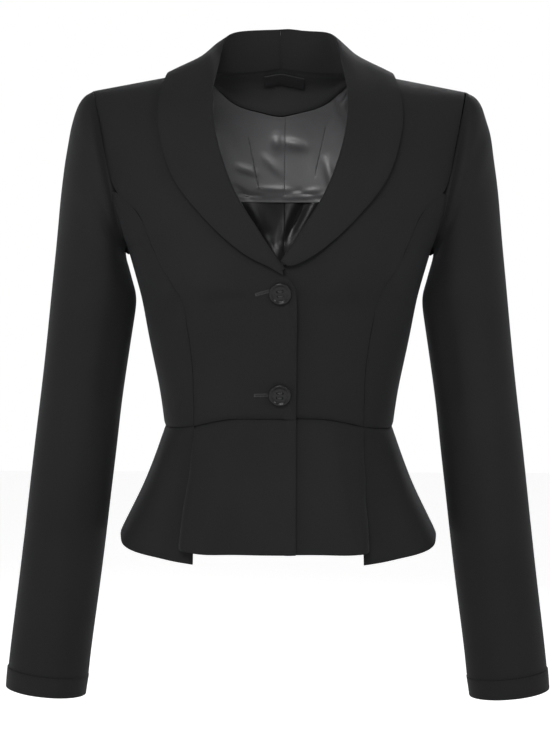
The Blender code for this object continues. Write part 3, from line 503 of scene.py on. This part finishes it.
def join_pairs(bm):
    """Joins the solid's triangles into the quads that its rows and columns make."""
    bm.faces.ensure_lookup_table()
    bm.edges.ensure_lookup_table()
    bm.faces.index_update()
    bm.edges.index_update()
    free = [True] * len(bm.faces)
    soft = [edge.calc_face_angle(math.pi) < RIM_ANGLE for edge in bm.edges]
    order = sorted((i for i in range(len(soft)) if soft[i]), key=lambda i: corner_error(bm.edges[i]))
    diagonals, queue = [], []

    def take(edge):
        diagonals.append(edge)
        for face in edge.link_faces:
            free[face.index] = False
        for face in edge.link_faces:
            for near in face.edges:
                queue.extend(f for f in near.link_faces if free[f.index])

    def settle():
        while queue:
            face = queue.pop()
            if not free[face.index]:
                continue
            choice = [
                e for e in face.edges if soft[e.index] and all(free[f.index] for f in e.link_faces)
            ]
            if len(choice) == 1:
                take(choice[0])

    for i in order:
        settle()
        edge = bm.edges[i]
        if all(free[f.index] for f in edge.link_faces):
            take(edge)
    settle()
    bmesh.ops.dissolve_edges(bm, edges=diagonals, use_verts=False)
    bm.normal_update()


def side_of(node):
    """The sign of a node's side: the wearer's right is -X."""
    return -1.0 if node.endswith("right") else 1.0


def is_arm(node):
    return node.startswith(("sleeve", "cuff"))


def arm_axis(z):
    """Middle of the sleeve at a height: distance out, and depth."""
    out = SLEEVE_TOP[0] + (SLEEVE_TOP[1] - z) * SLEEVE_LEAN
    return out, np.minimum(0.0, (z - SLEEVE_SWING_Z) * SLEEVE_SWING)


def outward(node, point):
    """The way out from the middle of the body or the arm."""
    if not is_arm(node):
        return Vector((point.x, point.y, 0.0))
    out, deep = arm_axis(point.z)
    return Vector((point.x - side_of(node) * out, point.y - float(deep), 0.0))


def outer_skin(node):
    """The outer face of a cloth solid, as an open sheet of quads."""
    bm = bmesh.new()
    bm.from_mesh(frame["nodes"][node].data)
    bmesh.ops.remove_doubles(bm, verts=bm.verts, dist=WELD)
    bm.normal_update()
    join_pairs(bm)
    bm.faces.index_update()
    solid = BVHTree.FromBMesh(bm)

    def is_wall(face):
        """Whether a face has the wall's other side just behind it, as a rim doesn't."""
        start = face.calc_center_median() - face.normal * WELD
        through = solid.ray_cast(start, -face.normal)[3]
        return through is not None and through < ROLL_WALL

    def goes_on(edge):
        """Whether the skin turns over an edge: it does at the collar's roll, not at a rim."""
        if edge.calc_face_angle(math.pi) <= RIM_ANGLE:
            return True
        wide = all(face.calc_area() > ROLL_WIDE * edge.calc_length() for face in edge.link_faces)
        return wide and node.startswith("shawl") and all(map(is_wall, edge.link_faces))

    skins, seen = [], set()
    for start in bm.faces:
        if start.index in seen:
            continue
        seen.add(start.index)
        skin, todo = [], [start]
        while todo:
            face = todo.pop()
            skin.append(face)
            for edge in face.edges:
                if not goes_on(edge):
                    continue
                for near in edge.link_faces:
                    if near.index not in seen:
                        seen.add(near.index)
                        todo.append(near)
        skins.append(skin)

    def shown(skin):
        return sum(f.calc_area() * f.normal.dot(outward(node, f.calc_center_median())) for f in skin)

    best = {face.index for face in max(skins, key=shown)}
    bmesh.ops.delete(bm, geom=[f for f in bm.faces if f.index not in best], context="FACES")
    close = next(gap for start, gap in CLOSE_ROWS.items() if node.startswith(start))
    bmesh.ops.remove_doubles(bm, verts=bm.verts, dist=close)
    for vert in bm.verts:
        if vert.is_boundary and abs(vert.co.x) < MIDDLE_REACH:
            vert.co.x = math.copysign(MIDDLE_GAP, vert.co.x)
    if node.startswith("sleeve"):
        run_under(bm, sleeve_move)
    if node.startswith("peplum"):
        run_under(bm, skirt_move)
    if node.startswith("peplum_front"):
        turn_pleat(bm)
    return bm


def way_past(vert):
    """The way on past an edge, in the sheet, at one of its points; none at a corner."""
    inner = [edge.other_vert(vert).co for edge in vert.link_edges if not edge.is_boundary]
    return (vert.co - sum(inner, Vector()) / len(inner)).normalized() if inner else None


def sleeve_move(vert):
    """The sleeve's head runs on under the body, and its end behind the cuff."""
    if vert.co.z < SLEEVE_END:
        return Vector((0.0, 0.0, -SLEEVE_TUCK))
    way = way_past(vert)
    return way and way * HEAD_REACH - vert.normal * HEAD_SINK


def skirt_move(vert):
    """A skirt piece's top edge runs on up behind the body at the waist seam."""
    way = way_past(vert)
    if way and way.z > TOP_EDGE_RISE:
        return way * WAIST_REACH - vert.normal * WAIST_SINK
    return None


def run_under(bm, move_of):
    """Runs a skin's edges on under its neighbours."""
    bm.normal_update()
    moves = [(vert, move_of(vert)) for vert in bm.verts if vert.is_boundary]
    for vert, move in moves:
        if move:
            vert.co += move


def at_pleat(edge):
    """Whether an edge of the front skirt is one of those that run down its pleat."""
    low, high = (vert.co for vert in edge.verts)
    upright = abs(low.z - high.z) > abs(low.x - high.x)
    return edge.is_boundary and upright and min(abs(low.x), abs(high.x)) > PLEAT_FROM


def turn_pleat(bm):
    """Turns the front skirt's pleat edge back towards the side piece under it."""
    made = bmesh.ops.extrude_edge_only(bm, edges=list(filter(at_pleat, bm.edges)))["geom"]
    for vert in made:
        if isinstance(vert, bmesh.types.BMVert):
            fall = min(1.0, max(0.0, (PLEAT_TOP - vert.co.z) / PLEAT_FALL))
            vert.co.y += PLEAT_TURN * (PLEAT_LEAST + (1.0 - PLEAT_LEAST) * fall)
            vert.co.x -= math.copysign(PLEAT_IN, vert.co.x)
    bm.normal_update()


def read_vectors(mesh, what):
    """One vector of each of a mesh's points, as rows."""
    values = np.empty(len(mesh.vertices) * 3, np.float32)
    mesh.vertices.foreach_get(what, values)
    return values.reshape(-1, 3).astype(float)


def points_of(mesh):
    return read_vectors(mesh, "co")


def normals_of(mesh):
    return read_vectors(mesh, "normal")


def put_points(mesh, points):
    mesh.vertices.foreach_set("co", points.astype(np.float32).ravel())
    mesh.update()


def link(name, mesh, look=None):
    """A new object of the scene, in one finish."""
    piece = bpy.data.objects.new(name, mesh)
    bpy.context.scene.collection.objects.link(piece)
    if look:
        mesh.materials.clear()
        mesh.materials.append(look)
    return piece


def evaluated(piece):
    """A piece with its modifiers worked out."""
    bpy.context.view_layer.update()
    return piece.evaluated_get(bpy.context.evaluated_depsgraph_get())


def rounded(bm, levels):
    """A finer, smooth copy of a skin that still passes through the solid's own points."""
    mesh = bpy.data.meshes.new("rough")
    bm.to_mesh(mesh)
    bm.free()
    piece = link("rough", mesh)
    smooth = piece.modifiers.new("smooth", "SUBSURF")
    smooth.levels = smooth.render_levels = levels
    smooth.boundary_smooth = "PRESERVE_CORNERS"
    wanted = points_of(mesh)
    for _ in range(KEEP_ROUNDS):
        reached = points_of(evaluated(piece).data)[:len(wanted)]
        put_points(mesh, points_of(mesh) + wanted - reached)
    fine = bpy.data.meshes.new_from_object(evaluated(piece))
    bpy.data.objects.remove(piece)
    bpy.data.meshes.remove(mesh)
    return fine


def cut_measures(node, points):
    """Distances round and up the flat cut, in metres, for each point."""
    x, y, z = points.T
    if is_arm(node):
        out, deep = arm_axis(z)
        return np.arctan2(deep - y, x * side_of(node) - out) * SLEEVE_RADIUS, z
    front = node.startswith(("front", "side_front", "peplum_front", "peplum_side"))
    if node.startswith("shawl"):
        depth = np.abs(y) + NO_DEPTH
    else:
        depth = np.maximum(-y if front else y, NO_DEPTH)
    around = np.arctan2(x, depth) * BODY_RADIUS
    lean = np.arctan2(np.maximum(z - YOKE_Z, 0.0), np.abs(y) + NO_DEPTH)
    return around, np.minimum(z, YOKE_Z) + lean * SHOULDER_RADIUS


def lay_out(node, mesh):
    """Writes the flat cut's measures as the weave's own map."""
    around, up = cut_measures(node, points_of(mesh))
    corners = np.empty(len(mesh.loops), np.int32)
    mesh.loops.foreach_get("vertex_index", corners)
    across = around[corners]
    if is_arm(node):
        whole = 2 * math.pi * SLEEVE_RADIUS
        quads = across.reshape(-1, 4)
        split = np.ptp(quads, axis=1) > whole / 2
        quads[split] = np.where(quads[split] < 0, quads[split] + whole, quads[split])
        across = quads.ravel()
    flat = mesh.uv_layers.new(name="cut")
    flat.data.foreach_set("uv", np.stack([across, up[corners]], axis=1).astype(np.float32).ravel())


def fold_heights(across, up, folds):
    """How far each point moves out for a table of folds; across and up in millimetres."""
    height = np.zeros(len(across))
    for fold in folds:
        way = np.array([fold.b_across - fold.a_across, fold.b_up - fold.a_up], float)
        along = (across - fold.a_across) * way[0] + (up - fold.a_up) * way[1]
        share = np.clip(along / (way @ way), 0.0, 1.0)
        away = np.hypot(across - fold.a_across - share * way[0], up - fold.a_up - share * way[1])
        fade = END_SHARE + (1.0 - END_SHARE) * np.sin(math.pi * share)
        height += fold.depth * fade * np.exp(-((away / fold.width) ** 2))
    return height


def fold(node, mesh, folds):
    """Moves a skin's points along its own normals for its folds."""
    points = points_of(mesh)
    if is_arm(node):
        across, up = cut_measures(node, points)
    else:
        across, _, up = points.T
    height = fold_heights(across / MM, up / MM, folds) * MM
    put_points(mesh, points + normals_of(mesh) * height[:, None])


def press_seams(mesh, seams):
    """Cuts three close lines along each seam into a skin and sinks the middle one."""
    bm = bmesh.new()
    bm.from_mesh(mesh)
    for seam in seams:
        start = Vector((seam.a_across, 0.0, seam.a_up)) * MM
        way = Vector((seam.b_across, 0.0, seam.b_up)) * MM - start
        across = Vector((way.z, 0.0, -way.x)).normalized()

        def beside(point):
            share = (point - start).dot(way) / way.length_squared
            return share, (point - start).dot(across)

        for shift in (-SEAM_HALF, 0.0, SEAM_HALF):
            near = []
            for face in bm.faces:
                share, off = beside(face.calc_center_median())
                if 0.0 <= share <= 1.0 and abs(off) < SEAM_ROUND:
                    near.append(face)
            parts = set(near)
            for face in near:
                parts.update(face.edges)
                parts.update(face.verts)
            ordered = sorted(parts, key=lambda part: (type(part).__name__, part.index))
            bmesh.ops.bisect_plane(bm, geom=ordered, plane_co=start + across * shift, plane_no=across)
            for kind in (bm.verts, bm.edges, bm.faces):
                kind.index_update()
        bm.normal_update()
        for vert in bm.verts:
            share, off = beside(vert.co)
            if 0.0 <= share <= 1.0 and abs(off) < SEAM_HALF / 10:
                vert.co += vert.normal * SEAM_SINK
    bm.to_mesh(mesh)
    bm.free()


def edge_rise(node, place, off):
    """How far the cloth stands out beside its edge: seams sink, a lapped edge lifts."""
    x, _, z = place
    if node.startswith(("sleeve", "shawl")):
        return 0.0
    if node.startswith("cuff"):
        return -CUFF_SINK
    if node in ("front_right", "peplum_front_right") and LAP[0] < x < LAP[1]:
        rise = LAP_RISE
    elif node == "neck_facing" and z > FACING_TOP:
        rise = FACING_RISE
    elif abs(z - WAIST_Z) < WAIST_BAND:
        rise = WAIST_RISE
    else:
        rise = SEAM_RISE
    return rise.height * math.exp(-((off / rise.reach) ** 2))


def shape_edges(node, mesh):
    """Sinks or lifts the cloth beside its edges and stores how near each point is to one, which the
    suiting reads for painted shade along edges and seams.
    """
    bm = bmesh.new()
    bm.from_mesh(mesh)
    rim = [vert.co.copy() for vert in bm.verts if vert.is_boundary]
    tree = KDTree(len(rim))
    for i, point in enumerate(rim):
        tree.insert(point, i)
    tree.balance()
    offs = [tree.find(vert.co)[2] for vert in bm.verts]
    rises = [edge_rise(node, vert.co, off) for vert, off in zip(bm.verts, offs)]
    bm.free()
    put_points(mesh, points_of(mesh) + normals_of(mesh) * np.array(rises)[:, None])
    near = [max(0.0, 1.0 - off / EDGE_REACH) for off in offs]
    mesh.attributes.new("near_edge", "FLOAT", "POINT").data.foreach_set("value", near)


def lower_stand(mesh):
    """Runs the collar's stand down to the facing."""
    points = points_of(mesh)
    x, y, z = points.T
    base = STAND_BASE + STAND_DROP * np.minimum(np.abs(x) / STAND_HALF, 1.0)
    behind = (y > STAND_FRONT) & (y < STAND_BACK)
    inside = (np.abs(x) < STAND_HALF) & behind & (z < base + STAND_OVER)
    share = np.clip((base + STAND_BLEND - z) / STAND_BLEND, 0.0, 1.0)
    z[inside] -= STAND_REACH * share[inside]
    put_points(mesh, points)


def sew(piece_cut):
    """One cloth piece: a thin folded shell on its solid's form."""
    node = piece_cut.node
    mesh = rounded(outer_skin(node), piece_cut.levels)
    lay_out(node, mesh)
    fold(node, mesh, piece_cut.folds)
    if piece_cut.seams:
        press_seams(mesh, piece_cut.seams)
    if node.startswith("shawl"):
        lower_stand(mesh)
    shape_edges(node, mesh)
    mesh.name = node + "_cloth"
    mesh.shade_smooth()
    piece = link(node + "_cloth", mesh, LOOKS[piece_cut.look])
    wall = piece.modifiers.new("wall", "SOLIDIFY")
    wall.thickness = piece_cut.wall
    wall.offset = -1.0
    edge = piece.modifiers.new("edge", "BEVEL")
    edge.width = EDGE_ROUND
    edge.segments = 2
    edge.limit_method = "ANGLE"
    edge.angle_limit = EDGE_ANGLE
    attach(piece, "root")
    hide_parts(node)
    return piece


sewn = {piece_cut.node: sew(piece_cut) for piece_cut in CUTS}


def surface_at(piece, x, z):
    """The front-most point and normal of a piece where it is seen from the front."""
    tree = BVHTree.FromObject(piece, bpy.context.evaluated_depsgraph_get())
    place, normal, _, _ = tree.ray_cast(Vector((x, -1.0, z)), Vector((0.0, 1.0, 0.0)))
    return place, normal


def add_piece(name, bm, look, replaced=()):
    """A finished piece that moves with the body."""
    mesh = bpy.data.meshes.new(name)
    bm.to_mesh(mesh)
    bm.free()
    mesh.shade_smooth()
    piece = link(name, mesh, look)
    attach(piece, "root")
    if replaced:
        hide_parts(*replaced)
    return piece


# Buttons: a turned profile as (share of the radius, height in millimetres)
BUTTON_RADIUS = 10.8 * MM
BUTTON_STEPS = 48
BUTTON_PROFILE = [
    (0.0, 0.05), (0.62, 0.05), (0.80, 0.10), (0.93, 0.50), (0.985, 1.10), (1.0, 1.75), (0.98, 2.40),
    (0.93, 2.88), (0.865, 3.02), (0.80, 2.88), (0.74, 2.45), (0.70, 2.05), (0.64, 1.86), (0.50, 1.80),
    (0.25, 1.82), (0.0, 1.84),
]
HOLE_RADIUS = 1.15 * MM
HOLE_REACH = 2.3 * MM
HOLE_SIDES = 20
DRILL_LONG = 9.0 * MM
DRILL_MIDDLE = 1.5 * MM
BUTTON_SHARP = math.radians(42)
THREAD_RADIUS = 0.33 * MM
STRAND_GAP = 1.6 * THREAD_RADIUS
SHANK_RADIUS = 1.6 * MM
SHANK_HEIGHTS = (-0.6, -0.2, 0.3)
# A strand over a button: (share of its reach, height in millimetres)
STRAND_PATH = [(-1.0, 0.6), (-1.0, 1.7), (-0.8, 2.15), (0.0, 2.3), (0.8, 2.15), (1.0, 1.7), (1.0, 0.6)]
BUTTON_TILT = {"button_upper": math.radians(7), "button_lower": math.radians(-4)}


def seat_of(node):
    """Middle of a button's flat back and its outward axis, from the solid."""
    bm = bmesh.new()
    bm.from_mesh(frame["nodes"][node].data)
    bmesh.ops.remove_doubles(bm, verts=bm.verts, dist=WELD)
    back = max((face for face in bm.faces if face.normal.y > 0.5), key=lambda face: face.calc_area())
    axis = -back.normal
    plane = back.calc_center_median().dot(axis)
    across = axis.orthogonal().normalized()
    middle = axis * plane
    for way in (across, axis.cross(across)):
        spans = [vert.co.dot(way) for vert in bm.verts]
        middle += way * (min(spans) + max(spans)) / 2
    bm.free()
    return middle, axis


def button(node):
    """Four-hole button with a raised, rounded rim, standing on its solid's seat."""
    place, axis = seat_of(node)
    stand = Matrix.Translation(place) @ axis.to_track_quat("Z", "Y").to_matrix().to_4x4()
    stand = stand @ Matrix.Rotation(BUTTON_TILT[node], 4, "Z")
    bm = bmesh.new()
    line = [bm.verts.new((share * BUTTON_RADIUS, 0.0, tall * MM)) for share, tall in BUTTON_PROFILE]
    edges = [bm.edges.new(pair) for pair in zip(line, line[1:])]
    bmesh.ops.spin(
        bm, geom=line + edges, cent=(0, 0, 0), axis=(0, 0, 1), angle=2 * math.pi,
        steps=BUTTON_STEPS, use_merge=True,
    )
    bmesh.ops.remove_doubles(bm, verts=bm.verts, dist=0.01 * MM)
    bmesh.ops.recalc_face_normals(bm, faces=bm.faces)
    bm.transform(stand)
    piece = add_piece(node + "_turned", bm, LOOKS["button"], (node,))
    drill_bm = bmesh.new()
    for across, up in ((1, 1), (1, -1), (-1, 1), (-1, -1)):
        bmesh.ops.create_cone(
            drill_bm, cap_ends=True, segments=HOLE_SIDES, radius1=HOLE_RADIUS, radius2=HOLE_RADIUS,
            depth=DRILL_LONG,
            matrix=Matrix.Translation((across * HOLE_REACH, up * HOLE_REACH, DRILL_MIDDLE)),
        )
    drill_bm.transform(stand)
    drill_mesh = bpy.data.meshes.new("drill")
    drill_bm.to_mesh(drill_mesh)
    drill_bm.free()
    drill = link("drill", drill_mesh, LOOKS["button"])
    holes = piece.modifiers.new("holes", "BOOLEAN")
    holes.object = drill
    holes.operation = "DIFFERENCE"
    drilled = bpy.data.meshes.new_from_object(evaluated(piece))
    piece.modifiers.clear()
    piece.data = drilled
    drilled.set_sharp_from_angle(angle=BUTTON_SHARP)
    bpy.data.objects.remove(drill)
    return stand


def tube_along(bm, points, radius, sides=8):
    """A round tube through a few points, closed at both ends."""
    rings = []
    for i, point in enumerate(points):
        ahead = points[min(i + 1, len(points) - 1)] - points[max(i - 1, 0)]
        turn = ahead.to_track_quat("Z", "Y").to_matrix().to_4x4()
        made = bmesh.ops.create_circle(
            bm, cap_ends=i in (0, len(points) - 1), segments=sides, radius=radius,
            matrix=Matrix.Translation(point) @ turn,
        )["verts"]
        rings.append(made)
    for low, high in zip(rings, rings[1:]):
        edges = {e for v in low + high for e in v.link_edges if len(e.link_faces) < 2}
        ordered = sorted(edges, key=lambda e: min(v.co.length for v in e.verts))
        keep = [e for e in ordered if all(v in low for v in e.verts) or all(v in high for v in e.verts)]
        bmesh.ops.bridge_loops(bm, edges=keep)


def button_thread(node, stand):
    """Two bars of thread through the button's holes and the shank under it."""
    bm = bmesh.new()
    for row in (-1, 1):
        for strand in (-0.5, 0.0, 0.5):
            up = row * HOLE_REACH + strand * STRAND_GAP
            reach = HOLE_REACH * (1.0 - 0.12 * abs(strand))
            path = [Vector((share * reach, up, tall * MM)) for share, tall in STRAND_PATH]
            tube_along(bm, path, THREAD_RADIUS)
    tube_along(bm, [Vector((0, 0, tall * MM)) for tall in SHANK_HEIGHTS], SHANK_RADIUS, 14)
    bmesh.ops.recalc_face_normals(bm, faces=bm.faces)
    bm.transform(stand)
    return add_piece(node + "_thread", bm, LOOKS["button_thread"])


stands = {node: button(node) for node in BUTTON_TILT}
for node, stand in stands.items():
    button_thread(node, stand)

# Buttonholes: outer end and inner end in the front view
HOLES = {
    "buttonhole_upper": (Vector((-21.5, 0, -198.0)) * MM, Vector((-9.5, 0, -194.6)) * MM),
    "buttonhole_lower": (Vector((-22.5, 0, -296.0)) * MM, Vector((-10.5, 0, -295.6)) * MM),
}
HOLE_STITCHES = 19
LIP_GAP = 0.95 * MM
STITCH_LONG = 1.1 * MM
STITCH_RADIUS = 0.24 * MM
# A stitch lying across an edge: (share of half its length, height in radii)
STITCH_PATH = [(-1.0, -1.0), (-0.75, 0.6), (0.0, 1.0), (0.75, 0.6), (1.0, -1.0)]
BAR_LONG = 2.9 * MM
BAR_RADIUS = 1.2 * STITCH_RADIUS
BAR_STEPS = (-1.2 * MM, -0.7 * MM)


def stitch(bm, place, across, out, long, radius):
    """One short thread loop that lies across an edge."""
    half = across * (long / 2)
    path = [place + half * share + out * (radius * tall) for share, tall in STITCH_PATH]
    tube_along(bm, path, radius, 6)


def buttonhole(name, outer, inner):
    """Two close rows of stitches round a slit, with a bar at the outer end."""
    bm = bmesh.new()
    front = sewn["front_right"]
    for i in range(HOLE_STITCHES):
        spot = outer.lerp(inner, i / (HOLE_STITCHES - 1))
        place, normal = surface_at(front, spot.x, spot.z)
        along = (inner - outer).normalized()
        across = normal.cross(along).normalized()
        for row in (-1, 1):
            stitch(bm, place + across * row * LIP_GAP, across, normal, STITCH_LONG, STITCH_RADIUS)
    place, normal = surface_at(front, outer.x, outer.z)
    across = normal.cross((inner - outer).normalized()).normalized()
    along = across.cross(normal)
    for step in BAR_STEPS:
        stitch(bm, place + along * step, across, normal, BAR_LONG, BAR_RADIUS)
    bmesh.ops.recalc_face_normals(bm, faces=bm.faces)
    return add_piece(name, bm, LOOKS["hole_thread"])


for name, (outer, inner) in HOLES.items():
    buttonhole(name, outer, inner)

# The stage, the light and the camera
FLOOR_Z = -1.12
FLOOR_HALF = 6.0
TARGET = Vector((-0.004, 0.0, -0.2755))
CAMERA_FAR = 2.4
CAMERA_UP = math.radians(4.5)
CAMERA_ROLL = math.radians(0.25)
LENS = 117.9
FILM_WIDE = 36.0
OVERHEAD = 0.35

# A soft light: its place, width and height in metres, and power in watts
Lamp = namedtuple("Lamp", "name place size power")
LAMPS = [
    Lamp("front", (-0.4, -2.4, 1.0), (1.1, 0.9), 58.0),
    Lamp("side_left", (-2.2, -0.9, 0.4), (0.5, 1.4), 9.0),
    Lamp("side_right", (1.7, -1.8, 1.0), (0.5, 0.7), 15.0),
    Lamp("back", (0.5, 2.3, 1.2), (1.0, 0.8), 30.0),
]


def floor():
    """The pale ground, far below the jacket."""
    bm = bmesh.new()
    bmesh.ops.create_grid(
        bm, x_segments=1, y_segments=1, size=FLOOR_HALF,
        matrix=Matrix.Translation((0.0, 0.0, FLOOR_Z)),
    )
    mesh = bpy.data.meshes.new("floor")
    bm.to_mesh(mesh)
    bm.free()
    link("floor", mesh, backdrop_paint())


def softbox(lamp):
    """One soft light that looks at the jacket and doesn't show."""
    light = bpy.data.lights.new(lamp.name, "AREA")
    light.shape = "RECTANGLE"
    light.size, light.size_y = lamp.size
    light.energy = lamp.power
    box = bpy.data.objects.new(lamp.name, light)
    box.location = lamp.place
    box.rotation_mode = "QUATERNION"
    box.rotation_quaternion = (TARGET - Vector(lamp.place)).to_track_quat("-Z", "Y")
    box.visible_camera = False
    bpy.context.scene.collection.objects.link(box)


def white_surround(overhead):
    """White all round, and dimmer overhead."""
    recipe = Recipe("studio", "worlds", "Background")
    way = recipe.node("ShaderNodeTexCoord", {}, {}, "Generated")
    rise = recipe.node("ShaderNodeSeparateXYZ", {}, {0: way}, "Z")
    share = recipe.ramp(rise, 0.10, 0.45)
    bpy.context.scene.world = recipe.finish(Color=recipe.between(share, (1.0,) * 3, (overhead,) * 3))


def camera():
    """In front and a little above, rolled as the photo is."""
    data = bpy.data.cameras.new("camera")
    data.lens = LENS
    data.sensor_width = FILM_WIDE
    view = bpy.data.objects.new("camera", data)
    back = Vector((0.0, -math.cos(CAMERA_UP), math.sin(CAMERA_UP)))
    view.location = TARGET + back * CAMERA_FAR
    view.rotation_mode = "QUATERNION"
    roll = Matrix.Rotation(CAMERA_ROLL, 3, "Z").to_quaternion()
    view.rotation_quaternion = (-back).to_track_quat("-Z", "Y") @ roll
    bpy.context.scene.collection.objects.link(view)
    bpy.context.scene.camera = view


bpy.context.scene.view_settings.view_transform = "Standard"
floor()
white_surround(OVERHEAD)
for lamp in LAMPS:
    softbox(lamp)
camera()
